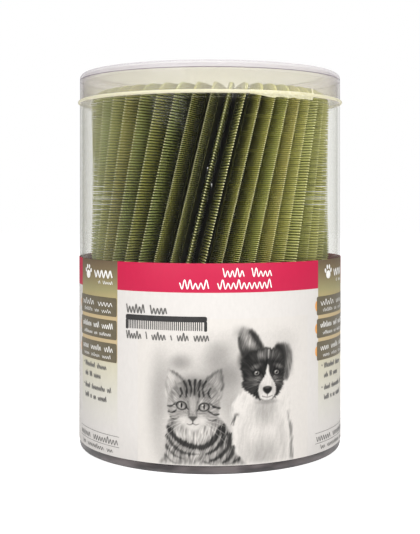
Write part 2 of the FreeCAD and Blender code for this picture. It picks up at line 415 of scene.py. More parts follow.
def comb_teeth(sort):
    """Teeth of one side from the bottom up, each as (places, fullness).

    A place is (distance out, lower edge, upper edge); fullness is the share of the thickness
    at steps from the lower edge to the upper. The first and last are the plain end plates.
    """
    pitch, gaps = sort["pitch"], sort["gaps"]
    root, tip = (pitch - sort["root_gap"]) / 2, (pitch - sort["tip_gap"]) / 2
    outermost = gaps / 2 * pitch
    plate_end = comb_edge(outermost - tip)
    plate = []
    for out in (TOOTH_ROOT, 11.5, 15.5, 17.5, 19.3, 20.8, 22.0, plate_end):
        inner = outermost - np.interp(out, (TOOTH_ROOT, plate_end), (root, tip))
        plate.append((out, inner, max(comb_end(out), inner + 0.03)))
    teeth = [([(out, -far, -near) for out, near, far in plate], (1.0, EDGE_FULL))]
    for number in range(1, gaps):
        middle = (number - gaps / 2) * pitch
        end = comb_edge(middle)
        places = [(TOOTH_ROOT, middle - root, middle + root), (end - 0.45, middle - tip, middle + tip),
                  (end, middle - tip / 2, middle + tip / 2)]
        teeth.append((places, (EDGE_FULL, 1.0, EDGE_FULL)))
    teeth.append((plate, (EDGE_FULL, 1.0)))
    return teeth


def lace(left, right, points):
    """Triangles between two columns of points that start and end level."""
    faces, i, j = [], 0, 0
    while i < len(left) - 1 or j < len(right) - 1:
        if j == len(right) - 1 or (i < len(left) - 1 and points[left[i + 1]][1] <= points[right[j + 1]][1]):
            faces.append((left[i], right[j], left[i + 1]))
            i += 1
        else:
            faces.append((left[i], right[j], right[j + 1]))
            j += 1
    return faces


def comb_thickness(across):
    """Thickness at a distance from the comb's middle: thick spine, thin teeth, eased tips."""
    spread = [0.0, SPINE_HALF - 0.6, SPINE_HALF + 0.6, COMB_WIDE / 2 - 0.6, COMB_WIDE / 2]
    slope = (SPINE_THICK - TIP_THICK) / (COMB_WIDE / 2 - SPINE_HALF)
    thick = [SPINE_THICK, SPINE_THICK, SPINE_THICK - slope * 0.6, TIP_THICK, TIP_THICK * 0.5]
    return float(np.interp(abs(across), spread, thick))


def comb_plan():
    """Flat mesh of a comb: its points, each point's share of the full thickness, and its faces."""
    points, fullness, faces, roots = [], [], [], {}
    for side, sort in ((1, COARSE), (-1, FINE)):
        roots[side] = []
        for places, shares in comb_teeth(sort):
            grid = []
            for out, low, high in places:
                first = len(points)
                points += [(side * out, float(z)) for z in np.linspace(low, high, len(shares))]
                fullness += shares
                grid.append(range(first, len(points)))
            roots[side] += grid[0]
            for near, far in zip(grid, grid[1:]):
                for k in range(len(shares) - 1):
                    faces.append((near[k], far[k], far[k + 1], near[k + 1])[::side])
    columns = [roots[-1]]
    for across in (-SPINE_HALF - 0.6, -SPINE_HALF + 0.6, SPINE_HALF - 0.6, SPINE_HALF + 0.6):
        first = len(points)
        points += [(across, float(z)) for z in np.linspace(-COMB_LONG / 2, COMB_LONG / 2, 12)]
        fullness += [1.0] * 12
        columns.append(range(first, len(points)))
    columns.append(roots[1])
    for left, right in zip(columns, columns[1:]):
        faces += lace(left, right, points)
    return points, fullness, faces


def comb_mesh(material):
    """One closed comb in its own axes: X across, Y through, Z along."""
    points, fullness, plan = comb_plan()
    size = len(points)
    half = [comb_thickness(x) * full / 2 for (x, _), full in zip(points, fullness)]
    front = [(x, -h, z) for (x, z), h in zip(points, half)]
    back = [(x, h, z) for (x, z), h in zip(points, half)]
    faces = plan + [tuple(i + size for i in reversed(face)) for face in plan]
    rim = set()
    for face in plan:
        for a, b in zip(face, (*face[1:], face[0])):
            if (b, a) in rim:
                rim.remove((b, a))
            else:
                rim.add((a, b))
    faces += [(b, a, a + size, b + size) for a, b in sorted(rim)]
    return make_mesh("flea_comb", front + back, faces, material, sharp=80.0)


def comb_plastic():
    """Moulded olive plastic with painted light: pale at the tips by a painted highlight, deep green to nearly
    black where the combs stand close together by painted shade, and by painted side light darker on the left
    of the ring, lighter on the right and darker again at the far right.
    """
    n = Nodes("comb_plastic")
    # An object's colour keys the painted shade: its red says how crowded the comb is and sets its share of
    # the painted shade, its green whether it is one comb alone, and its alpha which side is out
    info = n.add("ShaderNodeObjectInfo")
    shade_keys = n.add("ShaderNodeSeparateColor")
    n.feed(shade_keys.inputs[0], info.outputs["Color"])
    x, y, _ = n.place()
    alone = n.sum("MULTIPLY", x, n.sum("MULTIPLY_ADD", info.outputs["Alpha"], 2.0, -1.0))
    grouped = n.sum("SUBTRACT", n.from_axis(x, y), COMB_RING)
    outward = n.span(shade_keys.outputs[1], 0.0, 1.0, grouped, alone)
    own = info.outputs["Random"]
    across = n.add("ShaderNodeSeparateXYZ")
    n.feed(across.inputs[0], info.outputs["Location"])
    # Painted side light: a share from 0 on the left of the ring to 1 on the right, by the comb's place
    side_light = n.span(across.outputs[0], -0.005, 0.018)
    cloud = n.span(n.noise(70.0, 3.0, 0.55), 0.3, 0.7)
    hue = n.ramp(own, [(0.0, srgb(214, 213, 136)), (0.35, srgb(208, 206, 134)), (0.6, srgb(198, 210, 150)),
                       (0.85, srgb(210, 202, 136)), (1.0, srgb(198, 206, 130))])
    hue = n.mix(n.sum("MULTIPLY", cloud, 0.35), hue, srgb(182, 176, 92))
    # Painted highlight: the tooth tips are paled, less so towards the right of the ring
    tip = n.sum("MULTIPLY", n.step(outward, COMB_WIDE / 2 - 0.5, 0.2), n.span(side_light, 0.0, 1.0, 1.0, 0.35))
    hue = n.mix(tip, hue, srgb(236, 233, 188))
    # Painted shade: the colour darkens from the outer edge inwards to nearly black, standing in for the shade
    # deep among the close-packed combs
    depth = n.ramp(n.span(outward, -COMB_WIDE / 2, COMB_WIDE / 2), [
        (0.0, (0.012, 0.011, 0.009, 1)), (0.45, (0.025, 0.025, 0.016, 1)), (0.64, (0.14, 0.15, 0.075, 1)),
        (0.80, (0.50, 0.51, 0.34, 1)), (0.93, (0.88, 0.89, 0.74, 1)), (1.0, (1.0, 1.0, 1.0, 1))])
    colour = n.mix(shade_keys.outputs[0], hue, depth, "MULTIPLY")
    # Painted side light: darker on the left, lighter on the right and darker again at the far right
    shade = n.mix(side_light, (0.70, 0.70, 0.62, 1), (1.32, 1.30, 1.42, 1))
    shade = n.mix(n.span(across.outputs[0], 0.025, 0.034), shade, (0.84, 0.84, 0.78, 1))
    colour = n.mix(1.0, colour, shade, "MULTIPLY")
    solid = n.made("BsdfPrincipled", Base_Color=colour, Roughness=n.span(cloud, 0.0, 1.0, 0.30, 0.42),
                      IOR=1.5, Normal=n.bump(n.noise(900.0, 2.0), 0.00004, 0.3))
    return n.finish(n.blend(0.22, solid, n.made("BsdfTranslucent", Color=colour)))


def stand_comb(azimuth, ring, height, lean, fine_out):
    """Where a comb stands: leaning along the ring, one long edge towards the axis."""
    turn = math.radians(azimuth - 90)
    spin = Matrix.Rotation(math.pi, 4, "Z") if fine_out else Matrix.Identity(4)
    out = Matrix.Translation(Vector((ring * math.cos(turn), ring * math.sin(turn), height)) * MM)
    return out @ Matrix.Rotation(turn, 4, "Z") @ Matrix.Rotation(-lean, 4, "X") @ spin


def make_combs():
    """Upper combs one by one, and the lower ones in the groups they are packed in."""
    material = comb_plastic()
    mesh = comb_mesh(material)
    spots = []
    for number in range(COMBS):
        name = "upper_comb_%02d" % (number + 1) if number else "front_comb"
        low, high = box_mm(name)
        centre = (low + high) / 2
        azimuth = math.degrees(math.atan2(centre.x, -centre.y))
        spots.append((azimuth, math.hypot(centre.x, centre.y), number in FINE_SIDE_OUT))
        ring, fine_out = spots[-1][1:]
        add_piece(name + "_teeth", mesh, "jar" if number else "drawn_comb", [name],
                  stand_comb(azimuth, ring, centre.z, LEAN, fine_out),
                  (1.0 if number else FRONT_SHADE_SHARE, 1, 1, 0 if fine_out else 1))

    size = COMBS // GROUPS
    source = np.array([v.co for v in mesh.vertices])
    polygons = [tuple(p.vertices) for p in mesh.polygons]
    for group in range(GROUPS):
        node = "lower_combs_%d" % (group + 1)
        low, high = box_mm(node)
        points, faces = [], []
        for azimuth, ring, fine_out in spots[group * size:(group + 1) * size]:
            where = np.array(stand_comb(azimuth, ring, (low.z + high.z) / 2, LOWER_LEAN, fine_out))
            faces += [tuple(i + len(points) for i in p) for p in polygons]
            points += list((source @ where[:3, :3].T + where[:3, 3]) / MM)
        mesh = make_mesh(node, points, faces, material, sharp=80.0)
        # Full painted shade, darkened by each point's distance from the ring
        add_piece(node + "_teeth", mesh, "jar", [node], colour=(1, 0, 1, 1))


# --- printed sleeve

REPEAT = 120.0
PANEL_START, PANEL_END = -70.0, -40.2
REPEAT_END = PANEL_START + REPEAT
PINK_BOTTOM = 80.5
SLEEVE_THICK = 0.3
SLEEVE_SEAM = 0.4
PER_DEGREE = SLEEVE_RADIUS * math.pi / 180
INK = 0.08
PAPER_WHITE = srgb(202, 198, 194)

# Boxes on the side panel: top, foot, and the letters in each word of the large and the small line
BOX_ROWS = (
    (76.6, 68.0, [6, 5], [7, 3, 5]),
    (66.3, 57.4, [8, 4, 6], [9, 3, 8]),
    (55.7, 47.0, [5, 6, 4], [5, 6, 5]),
)


def paper(n, colour):
    """Finish a material as printed stock of some colour, with faint fibres."""
    fibres = n.noise(700.0, 3.0, 0.6, (1, 1, 0.5))
    colour = n.mix(1.0, colour, n.span(fibres, 0.3, 0.7, 0.975, 1.02), "MULTIPLY")
    rough = n.span(fibres, 0.3, 0.7, 0.42, 0.55)
    return n.finish(n.made("BsdfPrincipled", Base_Color=colour, Roughness=rough, Specular_IOR_Level=0.2,
                              Normal=n.bump(fibres, 0.00006, 0.25)))


def sleeve_print():
    """Printed stock: white field, pink band along the top and a shaded side panel, three times round."""
    n = Nodes("printed_sleeve")
    x, y, height = n.place()
    azimuth = n.sum("MULTIPLY", n.sum("ARCTAN2", x, n.sum("MULTIPLY", y, -1.0)), 180 / math.pi)
    across = n.sum("WRAP", azimuth, REPEAT_END, PANEL_START)
    field = n.mix(n.step(height, PINK_BOTTOM, 0.06), PAPER_WHITE, srgb(180, 29, 66))
    share = n.span(height, SLEEVE_LOW.z, SLEEVE_HIGH.z)

    def at(z):
        return (z - SLEEVE_LOW.z) / (SLEEVE_HIGH.z - SLEEVE_LOW.z)

    shade = n.ramp(share, [
        (at(16.0), PAPER_WHITE),
        (at(30.0), srgb(199, 196, 186)),
        (at(46.0), srgb(194, 189, 168)),
        (at(50.0), srgb(189, 169, 132)),
        (at(66.5), srgb(187, 166, 128)),
        (at(76.0), srgb(169, 154, 111)),
        (at(80.0), srgb(148, 141, 101)),
        (at(86.0), srgb(124, 111, 82)),
        (at(93.0), srgb(100, 85, 66)),
    ])
    panel = n.step(across, PANEL_START + 0.05, 0.03)
    panel = n.sum("MULTIPLY", panel, n.span(across, PANEL_END - 0.06, PANEL_END + 0.06, 1.0, 0.0))
    return paper(n, n.mix(panel, field, shade))


def picture_print():
    """The same stock, its tone taken from the picture painted on the mesh."""
    n = Nodes("picture_print")
    tone = n.add("ShaderNodeAttribute", attribute_name="tone").outputs["Color"]
    return paper(n, n.mix(1.0, PAPER_WHITE, tone, "MULTIPLY"))


def ink(name, colour):
    """Solid printing ink with a slightly uneven lay."""
    n = Nodes(name)
    uneven = n.noise(500.0, 3.0, 0.6)
    lighter = tuple(min(1.0, c * 1.15 + 0.01) for c in colour[:3]) + (1.0,)
    colour = n.mix(n.span(uneven, 0.35, 0.7), colour, lighter)
    rough = n.span(uneven, 0.3, 0.7, 0.35, 0.48)
    return n.finish(n.made("BsdfPrincipled", Base_Color=colour, Roughness=rough,
                              Normal=n.bump(uneven, 0.00004, 0.2)))


def make_sleeve():
    """Sleeve of printed stock, its two ends meeting at the back."""
    bottom, top = SLEEVE_LOW.z, SLEEVE_HIGH.z
    rows = [bottom, bottom + 0.1, 20.0, 50.0, PINK_BOTTOM, top - 0.1, top]
    inset = [0.05, 0.0, 0.0, 0.0, 0.0, 0.0, 0.05]
    inner, steps = SLEEVE_RADIUS - SLEEVE_THICK, 260
    points = []
    for step in range(steps + 1):
        azimuth = 180.0 - SLEEVE_SEAM / 2 - (360.0 - SLEEVE_SEAM) * step / steps
        points += [on_wall(azimuth, z, SLEEVE_RADIUS - slack) for z, slack in zip(rows, inset)]
        points += [on_wall(azimuth, z, inner + slack) for z, slack in zip(rows, inset)]
    mesh = make_mesh("printed_sleeve", points, band_faces(steps, len(rows)), sleeve_print())
    add_piece("printed_sleeve", mesh, "jar", ["wrap_label"])


def print_round(name, mesh):
    """The same print on each third of the sleeve."""
    for number in range(3):
        copy = mesh.copy()
        copy.transform(Matrix.Rotation(math.radians(REPEAT * number), 4, "Z"))
        add_piece("%s_%d" % (name, number + 1), copy, "jar")
    bpy.data.meshes.remove(mesh)


# --- picture of a cat and a dog


class Picture:
    """Grey picture painted point by point with soft shapes; places are in mm along the wall and up it."""

    def __init__(self, across, up):
        self.u, self.z = across, up
        self.tone = np.ones_like(across)
        self.random = np.random.default_rng(SEED)

    def lay(self, mask, tone, strength=1.0):
        self.tone += (tone - self.tone) * np.clip(mask * strength, 0, 1)

    def grain(self, along, over):
        """Smooth noise from -1 to 1 on two coordinates."""
        size = 256
        grid = self.random.uniform(-1, 1, (size, size))
        a, o = along % size, over % size
        a0, o0 = a.astype(int), o.astype(int)
        fa, fo = a - a0, o - o0
        fa, fo = fa * fa * (3 - 2 * fa), fo * fo * (3 - 2 * fo)
        a1, o1 = (a0 + 1) % size, (o0 + 1) % size
        low = grid[a0, o0] * (1 - fa) + grid[a1, o0] * fa
        high = grid[a0, o1] * (1 - fa) + grid[a1, o1] * fa
        return low * (1 - fo) + high * fo

    def turned(self, centre, lean):
        """Distances from a centre, along a direction in degrees and across it."""
        turn = math.radians(lean)
        du, dz = self.u - centre[0], self.z - centre[1]
        return du * math.cos(turn) + dz * math.sin(turn), dz * math.cos(turn) - du * math.sin(turn)

    def fur(self, direction, long=2.4, wide=0.34):
        """Streaks of hair lying along a direction in degrees, bent a little by a slow drift."""
        drift = 0.8 * self.grain(self.u / 5.0, self.z / 5.0)
        along, over = self.turned((0, 0), direction)
        over = over + drift
        fine = self.grain(along / long, over / wide)
        return 0.6 * fine + 0.4 * self.grain(along / long / 1.7, over / wide / 2.3)

    def mane(self, centre, long, wide):
        """Streaks of hair pointing away from a centre."""
        du, dz = self.u - centre[0], self.z - centre[1]
        reach = np.hypot(du, dz)
        way = np.arctan2(dz, du) + 0.07 * self.grain(self.u / 4.0, self.z / 4.0)
        fine = self.grain(reach / long, way * 9.0 / wide)
        return 0.6 * fine + 0.4 * self.grain(reach / long / 1.6, way * 4.0 / wide)

    def brush(self, mask, hair, depth):
        self.tone = np.clip(self.tone * (1 + mask * depth * hair), 0.02, 1.0)

    def spots(self, soft, *rows, veil=1.0):
        """Lay soft ovals: centre across and up, half width and height, lean, tone and strength."""
        for u, z, wide, high, lean, tone, strength in rows:
            along, over = self.turned((u, z), lean)
            mask = 1 - smoothstep(1 - soft, 1 + soft, np.hypot(along / wide, over / high))
            self.lay(mask, tone, strength * veil)

    def smooth_line(self, points, closed):
        """Points along a smooth curve through the given ones."""
        knots = [np.array(point) for point in points]
        knots = knots[-1:] + knots + knots[:2] if closed else knots[:1] + knots + knots[-1:]
        curve = []
        for a, b, c, d in zip(knots, knots[1:], knots[2:], knots[3:]):
            for t in (0.0, 0.25, 0.5, 0.75):
                bend = 2 * a - 5 * b + 4 * c - d + t * (3 * (b - c) + d - a)
                curve.append(b + 0.5 * t * (c - a + t * bend))
        return curve if closed else curve + knots[-1:]

    def trace(self, points, closed, margin, hair, ragged):
        """Follow a smooth curve: the part of the picture near it, its points, and at each place in that
        part the distance to it, how far along it the nearest place is, and the raggedness."""
        curve = self.smooth_line(points, closed)
        low, high = np.min(curve, axis=0) - margin - ragged, np.max(curve, axis=0) + margin + ragged
        part = (slice(*np.searchsorted(self.z[:, 0], (low[1], high[1]))),
                slice(*np.searchsorted(self.u[0], (low[0], high[0]))))
        u, z = self.u[part], self.z[part]
        gap, share = np.full_like(u, 1e9), np.zeros_like(u)
        ends = list(zip(curve, curve[1:] + curve[:1] if closed else curve[1:]))
        for number, (a, b) in enumerate(ends):
            run, rise = b - a
            along = np.clip(((u - a[0]) * run + (z - a[1]) * rise) / (run * run + rise * rise), 0, 1)
            apart = np.hypot(u - a[0] - along * run, z - a[1] - along * rise)
            closer = apart < gap
            gap[closer] = apart[closer]
            share[closer] = (number + along[closer]) / len(ends)
        return part, curve, gap, share, ragged * hair[part] if ragged else 0.0

    def fill(self, part, values):
        """Mask of the whole picture from its values in one part."""
        mask = np.zeros_like(self.u)
        mask[part] = values
        return mask

    def shape(self, points, soft, tone, hair=None, ragged=0.0):
        """Lay a smooth closed outline, its edge made ragged by hair, and give back its mask."""
        part, curve, gap, _, rough = self.trace(points, True, soft + 0.6, hair, ragged)
        u, z = self.u[part], self.z[part]
        inside = np.zeros(u.shape, bool)
        for a, b in zip(curve, curve[1:] + curve[:1]):
            if a[1] != b[1]:
                crossing = (b[0] - a[0]) * (z - a[1]) / (b[1] - a[1]) + a[0]
                inside ^= ((a[1] > z) != (b[1] > z)) & (u < crossing)
        mask = self.fill(part, smoothstep(-soft, soft, np.where(inside, gap, -gap) + rough))
        self.lay(mask, tone)
        return mask

    def stroke(self, points, wide, narrow, soft, tone, strength=1.0, hair=None, ragged=0.0):
        """Lay a brush line that tapers from its first point to its last."""
        part, _, gap, share, rough = self.trace(points, False, wide / 2 + soft + 0.6, hair, ragged)
        half = (wide + (narrow - wide) * share) / 2
        self.lay(self.fill(part, 1 - smoothstep(half - soft, half + soft, gap + rough)), tone, strength)


def paint_backdrop(p):
    """Out-of-focus grey shrubbery behind the two animals."""
    blur = p.grain(p.u / 9.0, p.z / 9.0) * 0.3 + 0.7
    p.spots(0.9, (-2, 45, 22, 12, 12, 0.80, 0.8), (-24.5, 34, 5.5, 15, -6, 0.64, 0.8),
            (7.4, 43, 7, 12, 10, 0.60, 0.8), (8.6, 33, 5, 11, 0, 0.62, 0.75),
            (-13, 50.2, 4, 2.8, 10, 0.55, 0.75), (3, 53.8, 5, 3.6, 20, 0.48, 0.8),
            (32, 56, 10, 7, 0, 0.86, 0.7), (-22.5, 14, 4, 11, 0, 0.76, 0.6), (10.2, 59, 4, 5, 0, 0.80, 0.6),
            (11.6, 22, 3, 9, 0, 0.74, 0.6), veil=blur)


def paint_dog(p):
    """Long-haired dog sitting, dark head with a pale blaze, one ear up and one folded."""
    mane = p.mane((26, 40), 2.6, 0.34)
    coat = p.fur(80, 3, 0.5)
    chest = p.shape([(13, 3), (9.6, 12), (9.8, 21), (9.4, 28), (12, 34), (17, 38), (26, 37), (36, 37),
            (39, 31), (37.6, 25), (38.6, 16), (38.4, 3)], 0.8, 0.985, coat, 0.9)
    p.spots(0.8, (25.2, 27.8, 5.2, 6.4, 0, 0.72, 0.75), (24, 8.6, 6.6, 6.8, 0, 0.68, 0.6),
            (33.5, 14, 2.6, 9, 6, 0.84, 0.5), (15, 14, 2.6, 10, -4, 0.86, 0.5))
    p.brush(chest, coat, 0.07)
    p.stroke([(36.8, 26.5), (38.2, 19), (39.2, 11), (39.4, 4)], 1, 1.6, 1, 0.46, 0.75, coat, 1)
    p.stroke([(11.9, 26.6), (10.9, 24.2), (10.4, 22.2)], 1.3, 0.7, 0.8, 0.2, 0.85, coat, 0.9)

    ear = p.shape([(12.6, 61), (13.7, 64.6), (16, 65.2), (19.4, 62.6), (22.6, 58), (24.6, 53.6), (21, 50.5),
            (16, 50), (13.6, 55)], 1, 0.46, coat, 0.5)
    p.spots(0.9, (14.6, 63.2, 3.2, 3, -30, 0.7, 0.75))
    p.spots(0.7, (18, 57.2, 1.7, 4.2, 18, 0.8, 0.8))
    p.stroke([(18.6, 63.2), (21.6, 59.4), (23.8, 55)], 2.2, 2.6, 0.9, 0.17, 0.85, coat, 0.5)
    p.stroke([(13, 60.4), (13.4, 56.6), (14.6, 53.4)], 0.9, 1.6, 0.6, 0.26, 0.8, coat, 0.4)
    p.brush(ear, p.fur(70, 2.4, 0.34), 0.3)
    folded = p.shape([(30.5, 55.4), (33.2, 57.6), (37.4, 55.8), (39.2, 51.6), (38.2, 46), (36, 41),
            (33.8, 44), (32.4, 50)], 1.3, 0.36, coat, 0.9)
    p.spots(0.9, (37.6, 50, 1.8, 5.4, 8, 0.58, 0.7))
    p.stroke([(31.4, 55.6), (33.2, 51.4), (33.6, 46.4)], 2.4, 1.6, 0.9, 0.12, 0.85, coat, 0.5)
    p.brush(folded, p.fur(105, 2.2, 0.34), 0.4)

    p.spots(0.5, (17.6, 51, 4.4, 5, -20, 0.18, 0.9), (33, 51.6, 3, 4.6, 10, 0.16, 0.9))
    head = p.shape([(13.6, 48), (16, 53), (21, 55.2), (27, 55.4), (32, 54.2), (34.8, 49), (34.8, 42),
            (33.4, 36.6), (29.8, 33.2), (26, 32.4), (22, 33), (17.6, 36), (14.6, 38.6), (14.6, 43)], 0.7,
            0.17, mane, 0.9)
    p.spots(0.8, (23.6, 52.6, 3.6, 2.2, 10, 0.5, 0.75), (30.2, 52.4, 2.6, 2, -10, 0.46, 0.7),
            (21, 47.6, 2.4, 1, 20, 0.48, 0.8), (31.6, 47.4, 2, 0.9, -18, 0.48, 0.8),
            (18.6, 41.2, 2.4, 3.4, -20, 0.42, 0.6), (32.6, 41, 1.6, 3.2, 14, 0.38, 0.6),
            (21.4, 41.2, 1.7, 2.4, -30, 0.56, 0.7), (30.4, 41.2, 1.3, 2.2, 24, 0.54, 0.7))
    p.brush(head, mane, 0.62)
    p.stroke([(27, 54.6), (26.8, 51)], 0.7, 0.3, 0.4, 0.88, 0.9)
    blaze = p.shape([(26, 47.6), (26.9, 47.6), (27.6, 43.6), (29.6, 40.2), (30.6, 36.6), (29.2, 33.4),
            (26.2, 32.2), (23, 33.2), (21.8, 36.6), (22.8, 40.2), (25.2, 43.6)], 0.5, 0.97, mane, 0.35)
    p.spots(0.8, (23.4, 37.6, 1, 2.2, -10, 0.8, 0.6), (29.2, 37.6, 0.9, 2.2, 10, 0.8, 0.6))
    p.brush(blaze, p.fur(90, 1.6, 0.3), 0.08)
    for u, z, lean in ((21.1, 44.6, 10), (30.9, 44.5, -10)):
        p.spots(0.4, (u, z, 2, 1.4, lean, 0.05, 1))
        p.spots(0.35, (u, z, 1.2, 0.95, lean, 0.62, 1), (u + 0.1, z, 0.55, 0.6, 0, 0.08, 1))
        p.spots(0.4, (u - 0.3, z + 0.45, 0.3, 0.26, 0, 1, 1))
    p.shape([(24.2, 38), (26.3, 38.6), (28.4, 38), (28.2, 36.4), (26.3, 35), (24.4, 36.4)], 0.4, 0.13)
    p.spots(0.6, (26.2, 37.9, 1.3, 0.4, 0, 0.42, 0.7))
    p.stroke([(26.3, 35.4), (26.3, 34.2)], 0.4, 0.3, 0.25, 0.35, 0.8)
    p.stroke([(23.8, 34.2), (26.3, 33.6), (28.8, 34.2)], 0.4, 0.3, 0.3, 0.38, 0.8)
    p.spots(0.7, (26.2, 31.6, 4.6, 0.9, 0, 0.6, 0.6))


# The cat's nose, in mm along the wall from the front
NOSE = -7.6


def paint_cat(p):
    """Short-haired striped cat sitting in front."""
    coat = p.fur(76, 2, 0.34)
    mane = p.mane((NOSE, 27), 1.7, 0.3)
    body = p.shape([(-21, 2), (-20, 10), (-19.4, 18), (-18, 25), (-10, 29), (0, 28), (6, 23.6), (9.4, 17.6),
            (10.4, 11), (14.4, 6.4), (15, 2)], 0.8, 0.6, coat, 0.7)
    p.spots(0.8, (-17, 9, 4, 7, 0, 0.76, 0.7))
    p.spots(0.7, (-6.5, 18.6, 8.4, 4.4, 0, 0.9, 0.85))
    p.spots(0.8, (-4, 7.4, 7.4, 3.6, 8, 0.74, 0.7))
    for points, wide, narrow, tone in (
        (((-18.6, 20.8), (-15.4, 16.4), (-9.6, 13.2), (-3, 12.6), (1.2, 15.4), (4.4, 20.4)), 2, 2.4, 0.17),
        (((-19.4, 17), (-16, 12.4), (-10.4, 9.6), (-5, 9.4)), 1.4, 1, 0.28),
        (((-19.6, 12.6), (-16.4, 8.8), (-12, 7.2)), 1.3, 0.8, 0.32),
        (((5.8, 21.8), (5.6, 16.2), (2.4, 11.6), (-1.4, 9.6)), 1.8, 1, 0.18),
        (((8.6, 18), (8.2, 12.8), (5.2, 8.8), (0.8, 6.6)), 2, 1.1, 0.18),
        (((10.2, 12.4), (9.2, 8.2), (5.6, 5.6)), 1.7, 1, 0.2),
        (((12.8, 7.4), (10, 5.4), (6.4, 4.4)), 1.3, 0.8, 0.26),
        (((-19.8, 8.4), (-17, 5.6), (-13.4, 4.6)), 1.1, 0.7, 0.34),
        (((-2.4, 6), (1.4, 4.6), (4.4, 4.2)), 1, 0.7, 0.34),
    ):
        p.stroke(points, wide, narrow, 0.6, tone, 0.85, coat, 0.6)
    p.brush(body, coat, 0.42)

    for outer, tip, inner, tone, dark in (((-19.6, 34.6), (-18.4, 46.4), (-10.6, 40.6), 0.84, 0.66),
                                          ((5.2, 34), (4.8, 46.6), (-2.8, 40.8), 0.62, 0.24)):
        away = 1 if tip[0] > -7 else -1
        side = ((outer[0] + tip[0]) / 2 + away * 0.7, (outer[1] + tip[1]) / 2)
        crown = (tip[0] - away, tip[1] - 0.5)
        toward = ((tip[0] + inner[0]) / 2, (tip[1] + inner[1]) / 2 + 0.7)
        middle = ((outer[0] + inner[0]) / 2 + away * 0.6, (outer[1] + inner[1]) / 2 + 1.4)
        hair = p.fur(90 - away * 24, 2.4, 0.3)
        outline = [outer, side, tip, crown, toward, inner, (middle[0], middle[1] - 5)]
        ear = p.shape(outline, 0.6, tone, hair, 0.4)
        p.spots(0.7, (*middle, 3, 4.6, away * 20, 0.8, 0.7))
        p.stroke([crown, toward, inner], 0.6, 1.7, 0.7, 0.42, 0.8, coat, 0.5)
        p.stroke([tip, side, (outer[0], outer[1] + 4)], 0.4, 1, 0.8, dark, 0.6, coat, 0.5)
        p.brush(ear, hair, 0.22)

    head = p.shape([(-19, 33), (-17, 38.2), (-12, 41.6), (-6.6, 42), (-1.4, 41.6), (2.8, 38.2), (4.4, 33),
            (3.6, 27.4), (0.4, 23.6), (-4.4, 21.4), (-10.8, 21.4), (-15.8, 23.6), (-18.8, 27.4)], 0.6,
            0.66, mane, 0.6)
    p.spots(0.8, (-6.8, 38.6, 7.6, 4.2, 0, 0.46, 0.8), (-16.8, 31.4, 2.4, 4.4, 0, 0.8, 0.6))
    for points, wide, narrow in (
        (((-11.6, 41.4), (-10.4, 38.2), (-10.6, 34.6)), 1.1, 0.5),
        (((-9.2, 41.8), (-8.4, 38.4), (-8.6, 34.8)), 1, 0.5),
        (((-6.6, 42), (-6.8, 38.4), (-6.9, 35.6)), 1.3, 0.5),
        (((-4.2, 41.8), (-5, 38.4), (-4.6, 34.8)), 1, 0.5),
        (((-1.8, 41.4), (-3.2, 38.2), (-2.6, 34.6)), 1.1, 0.5),
        (((-13, 38.4), (-12.4, 36.4), (-13.4, 34.4)), 0.8, 0.5),
        (((0.2, 38.4), (-0.8, 36.4), (0.2, 34.2)), 0.8, 0.5),
        (((0, 31.6), (2.2, 30), (4.2, 29.8)), 0.8, 0.7),
        (((-0.6, 28.4), (1.8, 26.8), (3.8, 27)), 0.7, 0.6),
        (((-1.4, 25.2), (0.6, 24), (2.6, 24.6)), 0.6, 0.4),
        (((-15.2, 31.8), (-17.2, 30.4), (-19, 30.2)), 0.7, 0.6),
        (((-15, 28.8), (-16.8, 27.4), (-18.6, 27.8)), 0.6, 0.5),
        (((-14, 25.4), (-16, 24.6), (-17.8, 25.4)), 0.5, 0.4),
    ):
        p.stroke(points, wide, narrow, 0.4, 0.14, 0.9, mane, 0.3)
    p.brush(head, mane, 0.34)
    p.spots(0.8, (NOSE, 31, 2.2, 3.4, 0, 0.8, 0.75))
    p.spots(0.7, (-11, 24, 3.4, 2.4, -14, 0.95, 0.9), (-4.2, 24, 3.4, 2.4, 14, 0.95, 0.9),
            (NOSE, 21.6, 3.4, 1.9, 0, 0.96, 0.9))
    for side in (-1, 1):
        points = [(NOSE + side * 2.2, 32.4), (NOSE + side * 1.7, 28.6), (NOSE + side * 1.8, 25.6)]
        p.stroke(points, 0.9, 0.5, 0.5, 0.4, 0.7)
    for u, z, lean in ((-12.7, 30.7, -12), (-2.6, 30.2, 10)):
        inward = 1 if u < -7 else -1
        p.spots(0.35, (u, z + 0.1, 3, 2.4, lean, 0.88, 0.5))
        p.spots(0.18, (u, z, 2.55, 1.95, lean, 0.07, 1))
        p.spots(0.2, (u, z, 1.95, 1.55, lean, 0.55, 1))
        p.spots(0.6, (u - 0.1, z - 0.5, 1.4, 0.85, lean, 0.8, 0.9))
        p.spots(0.35, (u, z + 0.1, 0.42, 1.15, 0, 0.06, 1))
        p.spots(0.4, (u - 0.7, z + 0.7, 0.36, 0.3, 0, 1, 1))
        p.stroke([(u + inward * 2.2, z - 0.6), (u + inward * 3.1, z - 1.7)], 0.7, 0.3, 0.3, 0.12, 0.9)
    p.shape([(-9.4, 25.8), (NOSE, 26.1), (-5.8, 25.8), (-6.7, 24.5), (NOSE, 23.9), (-8.5, 24.5)],
            0.35, 0.36)
    p.stroke([(NOSE, 24), (NOSE, 22.8)], 0.4, 0.35, 0.25, 0.2)
    for side in (-1, 1):
        points = [(NOSE, 22.9), (NOSE + side * 1.3, 22.3), (NOSE + side * 2.6, 22.7)]
        p.stroke(points, 0.4, 0.2, 0.3, 0.28, 0.8)
        for rise in (-3.4, -1.6, 0.2, 1.6):
            points = [(NOSE + side * 3.6, 24.2 + rise * 0.2), (NOSE + side * 8.5, 23.6 + rise),
                      (NOSE + side * 14, 21.4 + rise * 1.9)]
            p.stroke(points, 0.28, 0.12, 0.2, 0.98, 0.7)


